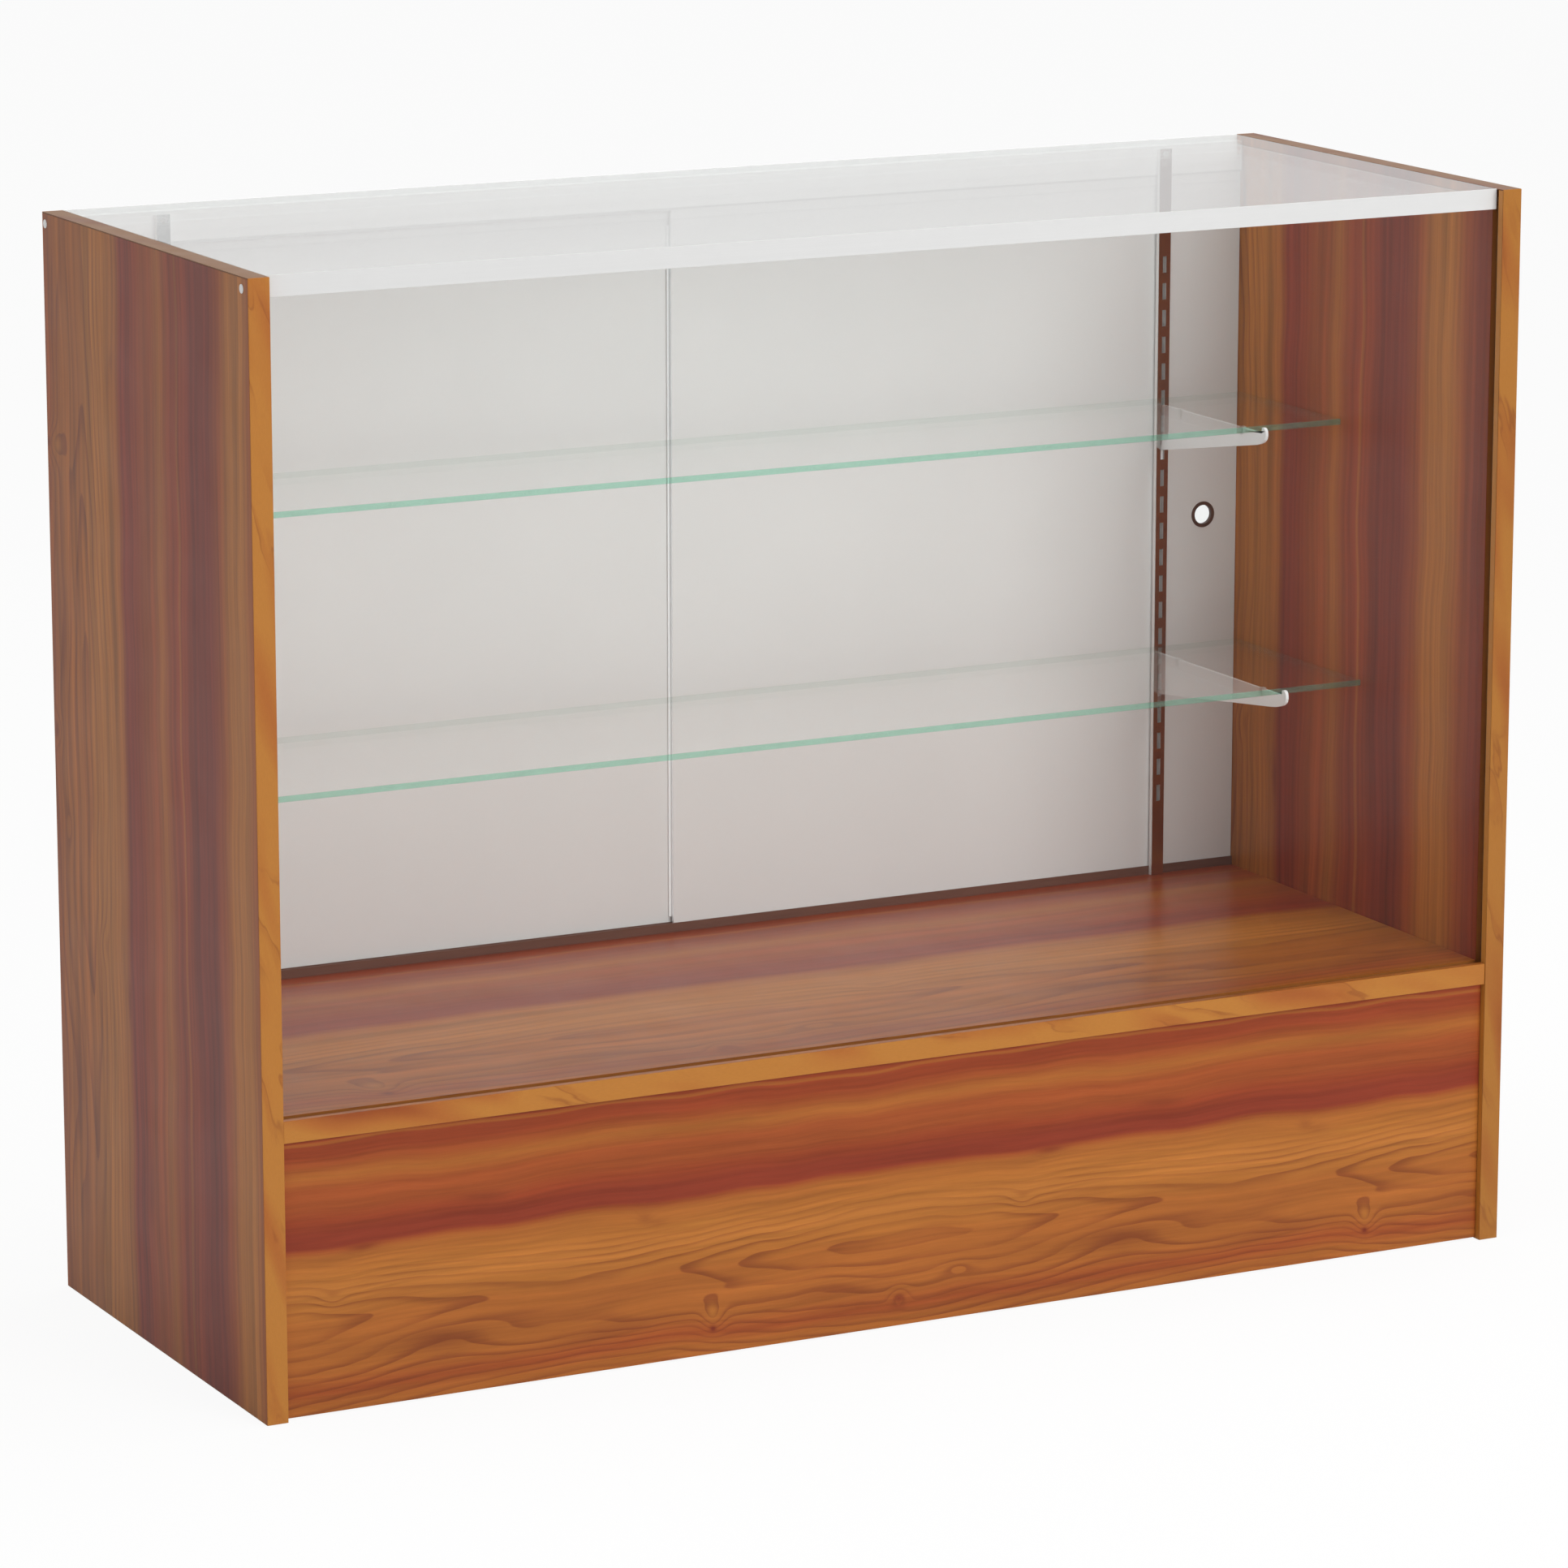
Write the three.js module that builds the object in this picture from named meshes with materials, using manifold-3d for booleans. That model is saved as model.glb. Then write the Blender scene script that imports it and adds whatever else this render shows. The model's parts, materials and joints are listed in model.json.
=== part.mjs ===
// Glass display showcase, full-vision type: laminated end panels, deck and kick fascia, glass
// front and top held by aluminium rails, two glass shelves on knife brackets hooked into
// slotted standards, and two sliding rear doors.
//
// Frame: millimetres, +Z up, the customer's side faces -Y, +X is to the right seen from that
// side. The origin is on the floor under the middle of the case.

import * as THREE from "three";
import { mergeVertices } from "three/addons/utils/BufferGeometryUtils.js";
import Module from "manifold-3d";

const wasm = await Module();
wasm.setup();

// ---------------------------------------------------------------- driving dimensions

const CASE = { width: 1219.2, depth: 457.2, height: 965.2 };
const BOARD = 19.05;          // end panels, deck and centre support
const THIN_BOARD = 15.9;      // fascia, rear rail and corner blocks
const BAND = 1;               // edge band
const GLUE = 0.05;            // glue line under an edge band
const FIT = 0.2;              // assembly gap between neighbours

const FRONT = -CASE.depth / 2;
const REAR = CASE.depth / 2;
const OUTER = CASE.width / 2;
const INNER = OUTER - BOARD;  // inner face of an end panel

const DECK_TOP = 260.35;
const DECK_BOTTOM = DECK_TOP - BOARD;
const DECK_SETBACK = 0.9;
const FASCIA = { setback: 6.35, floorGap: 1.5 };
const REAR_RAIL_HEIGHT = 76;
const CORNER_BLOCK = { width: 18, bottom: 20, top: 220 };

// The front glass stands in a groove of the end panels and the deck.
const GROOVE = { front: FRONT + 7.8, back: FRONT + 16.8, depth: 6 };
const FRONT_GLASS = { front: FRONT + 11.8, thickness: 4.8, engagement: 5.4 };
const SETTING_STRIP = 1.3;

// The top glass lies on ledges of the two rails, flush with the top of the end panels.
const TOP_GLASS = { thickness: 4.8, front: FRONT + 12.1, back: FRONT + 455.4, sideGap: 0.5 };
const LEDGE_TOP = CASE.height - TOP_GLASS.thickness - FIT;
const RAIL_PORT = { radius: 2.1, z: 955.2 };
const FRONT_RAIL = {
  front: FRONT + 10.4, bottom: 946.9, wall: 1.2, lip: 1.5, ledge: 15.6, portY: FRONT + 13.4,
};
const HEADER = {
  front: FRONT + 446, back: FRONT + 457, bottom: 931, wall: 1, lip: 1.4, portY: FRONT + 450.5,
};

// Two doors run in a twin groove at the bottom and a deeper one in the header.
const DOOR = { thickness: 3.2, bottom: 262.25, top: 936.5, overlap: 19, endGap: 0.75 };
const DOOR_GROOVE = { width: 4, divider: 1, headerDepth: 13, dividerSetback: 2 };
const TRACK = { height: 8.5, floor: 1.5 };
const PULL = { inset: 37.15, z: 605.8, bore: 9, sleeve: 10.2, lip: 12.5, proud: 0.6 };

// Slotted standards: shallow U channels screwed to the header, open side to the rear.
const STANDARD = { x: 504, face: FRONT + 440.5, width: 12.5, depth: 5.4, wall: 1.2, top: 958 };
const SLOT = { width: 3.9, height: 15.5, pitch: 25.4, first: 849, count: 21 };
const STANDARD_SCREW = { z: 953, headRadius: 2.8, headHeight: 1.9, radius: 1.6, tip: FRONT + 448 };

// Each shelf lies on two brackets. drop is the bracket's height at the standard, and slot is
// the index of the slot, counted from the top one, that carries its main hook.
const SHELF_THICKNESS = 5.6;
const SHELF_BACK = FRONT + 440;
const SHELF_SIDE_GAP = 2;
const SHELVES = [
  { name: "upper", underside: 717, front: FRONT + 260, drop: 44.4, slot: 6 },
  { name: "lower", underside: 478.4, front: FRONT + 217, drop: 40.8, slot: 15 },
];
const BRACKET = { thickness: 3, back: FRONT + 440.3, nose: 8.3, lipHeight: 4.2, chin: 15.2 };
const HOOK = { clear: 0.3, reach: 4.5, grip: 3.5, mainHeight: 11.2, lowerTop: 14, lowerLift: 0.6 };
const BUMPER = { top: 1, wall: 0.7, leg: 6.5, length: 5, holeRadius: 1.2, holeDrop: 4.5, fromEnds: 35 };

// Screws through the end panels into the rails, under white caps.
const RAIL_SCREW = { radius: 1.95, headRadius: 3.5, headFrom: 0.8, headTo: 3, length: 40 };
const COUNTERBORE = { radius: 3.7, depth: 3.2 };
const SCREW_CAP = { radius: 3.9, proud: 0.9, plugRadius: 3.4, plug: 0.6 };

// Knock-down fittings that draw the deck against the end panels.
const CAM = { radius: 7.4, bore: 7.55, height: 12.7, boreHeight: 13, fromPanel: 24, cavity: 3.9 };
const CAM_BOLT = { thread: 2.5, threadLength: 11, collar: 3.4, neck: 2, head: 3.2, bore: 3.7 };
const CAM_STATIONS = [FRONT + 70, FRONT + 380];

// ---------------------------------------------------------------- finishes

const finish = (color, roughness, metalness = 0) => () =>
  new THREE.MeshStandardMaterial({ color, roughness, metalness });

const panelLaminate = finish(0x8a5637, 0.45);
const edgeLaminate = finish(0xb06e33, 0.5);
const deckLaminate = finish(0x8a5a3c, 0.4);
const fasciaLaminate = finish(0xa9652f, 0.45);
const rawBoard = finish(0xb08d62, 0.8);
const whiteAluminium = finish(0xe6e6e4, 0.35, 0.3);
const brownPlastic = finish(0x4b3329, 0.5);
const whiteBoard = finish(0xe4e2df, 0.55);
const zincSteel = finish(0xa7a49f, 0.3, 0.9);
const whiteSteel = finish(0xdcdad7, 0.4, 0.2);
const whitePlastic = finish(0xf2f1ee, 0.4);
const clearRubber = finish(0xd5dad6, 0.5);
const greyVinyl = finish(0x77736e, 0.6);
const floatGlass = () => {
  const material = finish(0xcfe6dc, 0.03)();
  material.transparent = true;
  material.opacity = 0.3;
  return material;
};

// ---------------------------------------------------------------- helpers

// [low, high] of a span that starts a and ends b from the middle of the case, on one side.
const sideSpan = (side, a, b) => [Math.min(side * a, side * b), Math.max(side * a, side * b)];

const middle = ([low, high]) => (low + high) / 2;

function named(name, geometry, makeMaterial) {
  const mesh = new THREE.Mesh(geometry, makeMaterial());
  mesh.name = name;
  return mesh;
}

// A rectangular piece given by its spans along X, Y and Z.
function block(name, x, y, z, makeMaterial) {
  const geometry = new THREE.BoxGeometry(x[1] - x[0], y[1] - y[0], z[1] - z[0]);
  const mesh = named(name, geometry, makeMaterial);
  mesh.position.set(middle(x), middle(y), middle(z));
  return mesh;
}

function extruded(shape, length, curveSegments) {
  return new THREE.ExtrudeGeometry(shape, { depth: length, bevelEnabled: false, curveSegments });
}

// A section drawn in (Y, Z) and run along X.
function alongX(shape, x, curveSegments = 8) {
  const geometry = extruded(shape, x[1] - x[0], curveSegments);
  const turn = new THREE.Matrix4().makeBasis(
    new THREE.Vector3(0, 1, 0), new THREE.Vector3(0, 0, 1), new THREE.Vector3(1, 0, 0));
  geometry.applyMatrix4(turn);
  geometry.translate(x[0], 0, 0);
  return geometry;
}

// A section drawn in (X, Y) and run along Z.
function alongZ(shape, z) {
  const geometry = extruded(shape, z[1] - z[0], 1);
  geometry.translate(0, 0, z[0]);
  return geometry;
}

function outline(points) {
  return new THREE.Shape(points.map(([a, b]) => new THREE.Vector2(a, b)));
}

function addRoundHole(shape, a, b, radius) {
  const hole = new THREE.Path();
  hole.absarc(a, b, radius, 0, 2 * Math.PI, true);
  shape.holes.push(hole);
}

// A cylinder along X, Y or Z between two stations of that axis, centred on the other two.
function rod(axis, from, to, centre, radius, segments = 20) {
  const geometry = new THREE.CylinderGeometry(radius, radius, Math.abs(to - from), segments);
  if (axis === "x") geometry.rotateZ(Math.PI / 2);
  if (axis === "z") geometry.rotateX(Math.PI / 2);
  const place = { x: centre[0], y: centre[1], z: centre[2] };
  place[axis] = (from + to) / 2;
  geometry.translate(place.x, place.y, place.z);
  return geometry;
}

function boxTool(x, y, z) {
  const geometry = new THREE.BoxGeometry(x[1] - x[0], y[1] - y[0], z[1] - z[0]);
  geometry.translate(middle(x), middle(y), middle(z));
  return geometry;
}

function toSolid(geometry) {
  const bare = geometry.index ? geometry.toNonIndexed() : geometry.clone();
  bare.deleteAttribute("normal");
  bare.deleteAttribute("uv");
  const merged = mergeVertices(bare, 1e-4);
  const vertProperties = new Float32Array(merged.attributes.position.array);
  const triVerts = new Uint32Array(merged.index.array);
  return new wasm.Manifold(new wasm.Mesh({ numProp: 3, vertProperties, triVerts }));
}

function toGeometry(solid) {
  const { vertProperties, triVerts } = solid.getMesh();
  const geometry = new THREE.BufferGeometry();
  geometry.setAttribute("position", new THREE.BufferAttribute(new Float32Array(vertProperties), 3));
  geometry.setIndex(new THREE.BufferAttribute(new Uint32Array(triVerts), 1));
  geometry.computeVertexNormals();
  return geometry;
}

// Cuts tools, given in the case's frame, out of a placed mesh.
function carve(mesh, tools) {
  let solid = toSolid(mesh.geometry);
  for (const tool of tools) {
    tool.translate(-mesh.position.x, -mesh.position.y, -mesh.position.z);
    solid = solid.subtract(toSolid(tool));
  }
  mesh.geometry = toGeometry(solid);
  return mesh;
}

// A turned piece: profile points are (radius, distance) along an axis that runs from the
// panel's outer face to the middle of the case, on the given side.
function turnedInward(profile, side, y, z, segments) {
  const points = profile.map(([radius, distance]) => new THREE.Vector2(radius, distance));
  const geometry = new THREE.LatheGeometry(points, segments);
  geometry.rotateZ(side > 0 ? Math.PI / 2 : -Math.PI / 2);
  geometry.translate(side * OUTER, y, z);
  return geometry;
}

// ---------------------------------------------------------------- casework

function endPanel(side, label) {
  const panel = block(
    `${label}_end_panel`, sideSpan(side, INNER, OUTER), [FRONT + BAND + GLUE, REAR - BAND - GLUE],
    [0, CASE.height - BAND - GLUE], panelLaminate);
  const tools = [boxTool(
    sideSpan(side, INNER - 1, INNER + GROOVE.depth), [GROOVE.front, GROOVE.back],
    [DECK_TOP - GROOVE.depth - 0.4, CASE.height + 1])];
  for (const y of [FRONT_RAIL.portY, HEADER.portY]) {
    const centre = [0, y, RAIL_PORT.z];
    tools.push(rod("x", side * (INNER - 1), side * (OUTER + 1), centre, RAIL_SCREW.radius + FIT));
    tools.push(rod("x", side * (OUTER - COUNTERBORE.depth), side * (OUTER + 1), centre,
      COUNTERBORE.radius));
  }
  for (const y of CAM_STATIONS) {
    const centre = [0, y, middle([DECK_BOTTOM, DECK_TOP])];
    const end = INNER + CAM_BOLT.threadLength + 0.6;
    tools.push(rod("x", side * (INNER - 1), side * end, centre, CAM_BOLT.thread + 0.15));
  }
  return carve(panel, tools);
}

function panelBands(side, label) {
  const x = sideSpan(side, INNER, OUTER);
  const topSpan = [FRONT + BAND + GLUE, REAR - BAND - GLUE];
  return [
    block(`${label}_panel_front_band`, x, [FRONT, FRONT + BAND], [0, CASE.height], edgeLaminate),
    block(`${label}_panel_rear_band`, x, [REAR - BAND, REAR], [0, CASE.height], edgeLaminate),
    block(`${label}_panel_top_band`, x, topSpan, [CASE.height - BAND, CASE.height], edgeLaminate),
  ];
}

function deck() {
  const bandBack = FRONT + DECK_SETBACK + BAND;
  const x = [-INNER + FIT, INNER - FIT];
  const z = [DECK_BOTTOM, DECK_TOP];
  const panel = block("deck_panel", x, [bandBack + GLUE, REAR], z, deckLaminate);
  const tools = [boxTool([-OUTER, OUTER], [GROOVE.front, GROOVE.back],
    [DECK_TOP - GROOVE.depth, DECK_TOP + 1])];
  for (const side of [-1, 1]) {
    for (const y of CAM_STATIONS) {
      const camX = side * (INNER - CAM.fromPanel);
      tools.push(rod("z", DECK_BOTTOM - 1, DECK_BOTTOM + CAM.boreHeight, [camX, y, 0], CAM.bore, 28));
      tools.push(rod("x", camX, side * (INNER + 1), [0, y, middle(z)], CAM_BOLT.bore));
    }
  }
  const band = block("deck_front_band", x, [bandBack - BAND, bandBack], z, edgeLaminate);
  return [carve(panel, tools), band];
}

function base() {
  const fasciaFront = FRONT + FASCIA.setback;
  const fasciaBack = fasciaFront + THIN_BOARD;
  const x = [-INNER + FIT, INNER - FIT];
  const top = DECK_BOTTOM - FIT;
  const railFront = REAR - FIT - THIN_BOARD;
  const railBottom = top - REAR_RAIL_HEIGHT;
  const support = outline([
    [fasciaBack + FIT, 0], [REAR - FIT, 0], [REAR - FIT, railBottom - FIT],
    [railFront - FIT, railBottom - FIT], [railFront - FIT, top], [fasciaBack + FIT, top],
  ]);
  const pieces = [
    block("kick_fascia", x, [fasciaFront, fasciaBack], [FASCIA.floorGap, top], fasciaLaminate),
    block("base_rear_rail", x, [railFront, REAR - FIT], [railBottom, top], panelLaminate),
    named("base_centre_support", alongX(support, [-BOARD / 2, BOARD / 2]), rawBoard),
  ];
  for (const [side, label] of [[-1, "left"], [1, "right"]]) {
    const blockX = sideSpan(side, INNER - FIT, INNER - FIT - CORNER_BLOCK.width);
    const blockY = [fasciaBack + FIT, fasciaBack + FIT + CORNER_BLOCK.width];
    const blockZ = [CORNER_BLOCK.bottom, CORNER_BLOCK.top];
    pieces.push(block(`${label}_fascia_corner_block`, blockX, blockY, blockZ, rawBoard));
  }
  return pieces;
}

// ---------------------------------------------------------------- knock-down fittings

function camLock(side, y, name) {
  const x = side * (INNER - CAM.fromPanel);
  const bottom = DECK_BOTTOM + 0.1;
  const body = named(name, rod("z", bottom, bottom + CAM.height, [x, y, 0], CAM.radius, 28), zincSteel);
  const boltZ = middle([DECK_BOTTOM, DECK_TOP]);
  const entry = rod("x", x - side * 3.6, x + side * (CAM.radius + 1), [0, y, boltZ], CAM.cavity);
  const slotX = boxTool([x - 4.5, x + 4.5], [y - 0.6, y + 0.6], [bottom - 1, bottom + 1.5]);
  const slotY = boxTool([x - 0.6, x + 0.6], [y - 4.5, y + 4.5], [bottom - 1, bottom + 1.5]);
  return carve(body, [entry, slotX, slotY]);
}

function camBolt(side, y, name) {
  const { thread, threadLength, collar, neck, head } = CAM_BOLT;
  const threadEnd = BOARD - threadLength;
  const profile = [
    [0, threadEnd], [thread, threadEnd], [thread, BOARD + 0.3], [collar, BOARD + 0.3],
    [collar, BOARD + 14.5], [neck, BOARD + 14.5], [neck, BOARD + 21.5], [head, BOARD + 22.3],
    [head, BOARD + 24.7], [head - 1, BOARD + 25.5], [0, BOARD + 25.5],
  ];
  return named(name, turnedInward(profile, side, y, middle([DECK_BOTTOM, DECK_TOP]), 16), zincSteel);
}

function knockDownFittings() {
  const pieces = [];
  for (const [side, label] of [[-1, "left"], [1, "right"]]) {
    for (const [index, place] of ["front", "rear"].entries()) {
      const y = CAM_STATIONS[index];
      pieces.push(camLock(side, y, `${label}_${place}_cam_lock`));
      pieces.push(camBolt(side, y, `${label}_${place}_cam_bolt`));
    }
  }
  return pieces;
}

function railScrew(side, y, name) {
  const { radius, headRadius, headFrom, headTo, length } = RAIL_SCREW;
  const profile = [
    [0, headFrom], [headRadius, headFrom], [headRadius, headTo], [radius, headTo],
    [radius, length - 3], [0, length],
  ];
  return named(name, turnedInward(profile, side, y, RAIL_PORT.z, 16), zincSteel);
}

function screwCap(side, y, name) {
  const { radius, proud, plugRadius, plug } = SCREW_CAP;
  const profile = [
    [0, -proud], [radius * 0.6, -proud * 0.92], [radius * 0.9, -proud * 0.6], [radius, -proud * 0.25],
    [radius, -GLUE], [plugRadius, -GLUE], [plugRadius, plug], [0, plug],
  ];
  return named(name, turnedInward(profile, side, y, RAIL_PORT.z, 24), whitePlastic);
}

function railFixings() {
  const pieces = [];
  for (const [side, label] of [[-1, "left"], [1, "right"]]) {
    for (const [place, y] of [["front", FRONT_RAIL.portY], ["rear", HEADER.portY]]) {
      pieces.push(railScrew(side, y, `${label}_${place}_rail_screw`));
      pieces.push(screwCap(side, y, `${label}_${place}_screw_cap`));
    }
  }
  return pieces;
}

// ---------------------------------------------------------------- rails, glass and doors

function frontRail() {
  const { front, bottom, wall, lip, ledge, portY } = FRONT_RAIL;
  const channelTop = bottom + 4.3;
  const channelBack = GROOVE.back;
  const back = channelBack + wall;
  const ledgeBottom = LEDGE_TOP - 1.6;
  const section = outline([
    [front, bottom], [front + wall, bottom], [front + wall, channelTop], [channelBack, channelTop],
    [channelBack, bottom], [back, bottom], [back, ledgeBottom], [front + ledge, ledgeBottom],
    [front + ledge, LEDGE_TOP], [front + lip, LEDGE_TOP], [front + lip, CASE.height],
    [front, CASE.height],
  ]);
  addRoundHole(section, portY, RAIL_PORT.z, RAIL_PORT.radius);
  return named("front_top_rail", alongX(section, [-INNER + FIT, INNER - FIT]), whiteAluminium);
}

// Walls of the two door grooves, front to back: [front of groove, back of groove].
const nearGroove = [HEADER.front + HEADER.wall, HEADER.front + HEADER.wall + DOOR_GROOVE.width];
const farGroove = [nearGroove[1] + DOOR_GROOVE.divider, HEADER.back - HEADER.wall];

function headerRail() {
  const { front, back, bottom, lip, portY } = HEADER;
  const grooveTop = bottom + DOOR_GROOVE.headerDepth;
  const dividerBottom = bottom + DOOR_GROOVE.dividerSetback;
  const section = outline([
    [front, bottom], [nearGroove[0], bottom], [nearGroove[0], grooveTop], [nearGroove[1], grooveTop],
    [nearGroove[1], dividerBottom], [farGroove[0], dividerBottom], [farGroove[0], grooveTop],
    [farGroove[1], grooveTop], [farGroove[1], bottom], [back, bottom], [back, CASE.height],
    [back - lip, CASE.height], [back - lip, LEDGE_TOP], [front, LEDGE_TOP],
  ]);
  addRoundHole(section, portY, RAIL_PORT.z, RAIL_PORT.radius);
  const rail = named("rear_header_rail", alongX(section, [-INNER + FIT, INNER - FIT]), whiteAluminium);
  const pilots = [-1, 1].map((side) => rod("y", front - 1, STANDARD_SCREW.tip + FIT,
    [side * STANDARD.x, 0, STANDARD_SCREW.z], STANDARD_SCREW.radius + FIT / 2, 12));
  return carve(rail, pilots);
}

function doorTrack() {
  const bottom = DECK_TOP + 0.1;
  const floor = bottom + TRACK.floor;
  const top = DECK_TOP + TRACK.height;
  const section = outline([
    [HEADER.front, bottom], [HEADER.back, bottom], [HEADER.back, top], [farGroove[1], top],
    [farGroove[1], floor], [farGroove[0], floor], [farGroove[0], top], [nearGroove[1], top],
    [nearGroove[1], floor], [nearGroove[0], floor], [nearGroove[0], top], [HEADER.front, top],
  ]);
  return named("bottom_door_track", alongX(section, [-INNER + FIT, INNER - FIT]), brownPlastic);
}

function caseGlass() {
  const frontX = INNER + FRONT_GLASS.engagement;
  const frontBottom = DECK_TOP - GROOVE.depth + 0.1 + SETTING_STRIP + FIT;
  const topX = INNER - TOP_GLASS.sideGap;
  return [
    block("front_glass", [-frontX, frontX],
      [FRONT_GLASS.front, FRONT_GLASS.front + FRONT_GLASS.thickness],
      [frontBottom, FRONT_RAIL.bottom + 3.8], floatGlass),
    block("front_glass_setting_strip", [-INNER + 2 * FIT, INNER - 2 * FIT],
      [GROOVE.front + FIT, GROOVE.back - FIT],
      [DECK_TOP - GROOVE.depth + 0.1, DECK_TOP - GROOVE.depth + 0.1 + SETTING_STRIP], greyVinyl),
    block("top_glass", [-topX, topX], [TOP_GLASS.front, TOP_GLASS.back],
      [CASE.height - TOP_GLASS.thickness, CASE.height], floatGlass),
  ];
}

// A door fills its half of the opening and laps over the other one in the middle.
function door(side, label, groove) {
  const edge = INNER - DOOR.endGap;
  const x = sideSpan(side, -DOOR.overlap / 2, edge);
  const y = [middle(groove) - DOOR.thickness / 2, middle(groove) + DOOR.thickness / 2];
  const panel = block(`${label}_door`, x, y, [DOOR.bottom, DOOR.top], whiteBoard);
  const centre = [side * (INNER - PULL.inset), 0, PULL.z];
  return [
    carve(panel, [rod("y", y[0] - 1, y[1] + 1, centre, PULL.sleeve + 0.1, 32)]),
    fingerPull(`${label}_door_finger_pull`, centre, y),
  ];
}

// Press-in ring: a sleeve through the door with a flat lip on each face.
function fingerPull(name, centre, doorY) {
  const { bore, sleeve, lip, proud } = PULL;
  const half = (doorY[1] - doorY[0]) / 2;
  const profile = [
    [bore, -half - proud], [lip - 0.3, -half - proud], [lip, -half - proud * 0.5], [lip, -half - GLUE],
    [sleeve, -half - GLUE], [sleeve, half + GLUE], [lip, half + GLUE], [lip, half + proud * 0.5],
    [lip - 0.3, half + proud], [bore, half + proud], [bore, -half - proud],
  ];
  const points = profile.map(([radius, distance]) => new THREE.Vector2(radius, distance));
  const ring = named(name, new THREE.LatheGeometry(points, 32), brownPlastic);
  ring.position.set(centre[0], middle(doorY), centre[2]);
  return ring;
}

// ---------------------------------------------------------------- standards, brackets, shelves

const slotCentre = (index) => SLOT.first - index * SLOT.pitch;
const slotBottom = (index) => slotCentre(index) - SLOT.height / 2;

function standard(side, label) {
  const { x, face, width, depth, wall, top } = STANDARD;
  const centre = side * x;
  const half = width / 2;
  const section = outline([
    [centre - half, face], [centre + half, face], [centre + half, face + depth],
    [centre + half - wall, face + depth], [centre + half - wall, face + wall],
    [centre - half + wall, face + wall], [centre - half + wall, face + depth],
    [centre - half, face + depth],
  ]);
  const channel = named(`${label}_standard`, alongZ(section, [DECK_TOP + 0.1, top]), zincSteel);
  const cutY = [face - 1, face + wall + 1];
  const tools = [rod("y", cutY[0], cutY[1], [centre, 0, STANDARD_SCREW.z],
    STANDARD_SCREW.radius + FIT, 16)];
  for (let index = 0; index < SLOT.count; index += 1) {
    const z = [slotBottom(index), slotBottom(index) + SLOT.height];
    tools.push(boxTool([centre - SLOT.width / 2, centre + SLOT.width / 2], cutY, z));
  }
  return carve(channel, tools);
}

function standardScrew(side, label) {
  const { z, headRadius, headHeight, radius, tip } = STANDARD_SCREW;
  const seat = STANDARD.face - 0.1;
  const length = tip - seat;
  const profile = [
    [0, -headHeight], [headRadius * 0.7, -headHeight * 0.85], [headRadius, -headHeight * 0.3],
    [headRadius, 0], [radius, 0], [radius, length - 1.5], [0, length],
  ];
  const points = profile.map(([r, distance]) => new THREE.Vector2(r, distance));
  const screw = named(`${label}_standard_screw`, new THREE.LatheGeometry(points, 16), zincSteel);
  screw.position.set(side * STANDARD.x, seat, z);
  return screw;
}

// Knife bracket: a tapering plate with a front lip that stops the glass, and two hooks that
// pass through the slots and drop behind the face of the standard.
function bracket(side, label, shelf) {
  const { underside, front, drop, slot } = shelf;
  const { thickness, back, nose, lipHeight, chin } = BRACKET;
  const top = underside - BUMPER.top;
  const stop = front - 0.8;
  const tip = front - nose;
  const shape = new THREE.Shape();
  shape.moveTo(back, top);
  shape.lineTo(stop, top);
  shape.lineTo(stop, underside + lipHeight * 0.6);
  shape.quadraticCurveTo(stop, underside + lipHeight, stop - 2.4, underside + lipHeight);
  shape.quadraticCurveTo(tip, underside + lipHeight, tip, underside - 3);
  shape.bezierCurveTo(tip, underside - 10, stop + 4, underside - chin + 2, front + 18, underside - chin);
  shape.lineTo(back, underside - drop);
  const inside = STANDARD.face + STANDARD.wall + HOOK.clear;
  const end = back + HOOK.reach;
  for (const [index, lift, height] of [
    [slot + 1, Math.max(FIT, underside - drop + HOOK.lowerLift - slotBottom(slot + 1)), HOOK.lowerTop],
    [slot, FIT, HOOK.mainHeight],
  ]) {
    const base = slotBottom(index);
    shape.lineTo(back, base + lift);
    shape.lineTo(inside, base + lift);
    shape.lineTo(inside, base - HOOK.grip);
    shape.lineTo(end, base - HOOK.grip);
    shape.lineTo(end, base + height);
    shape.lineTo(back, base + height);
  }
  for (const y of bumperStations(shelf)) {
    addRoundHole(shape, y, top - BUMPER.holeDrop, BUMPER.holeRadius);
  }
  const x = [side * STANDARD.x - thickness / 2, side * STANDARD.x + thickness / 2];
  return named(`${shelf.name}_${label}_bracket`, alongX(shape, x, 5), whiteSteel);
}

const bumperStations = (shelf) => [shelf.front + BUMPER.fromEnds, BRACKET.back - BUMPER.fromEnds];

// Soft saddle that clips over the bracket's top edge and carries the glass.
function bumper(side, y, shelf, name) {
  const inner = BRACKET.thickness / 2 + 0.1;
  const outer = inner + BUMPER.wall;
  const seat = shelf.underside - BUMPER.top + 0.1;
  const foot = seat - BUMPER.leg;
  const centre = side * STANDARD.x;
  const saddle = block(name, [centre - outer, centre + outer],
    [y - BUMPER.length / 2, y + BUMPER.length / 2], [foot, shelf.underside - GLUE], clearRubber);
  const straddled = boxTool([centre - inner, centre + inner], [y - 10, y + 10], [foot - 1, seat]);
  return carve(saddle, [straddled]);
}

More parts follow.
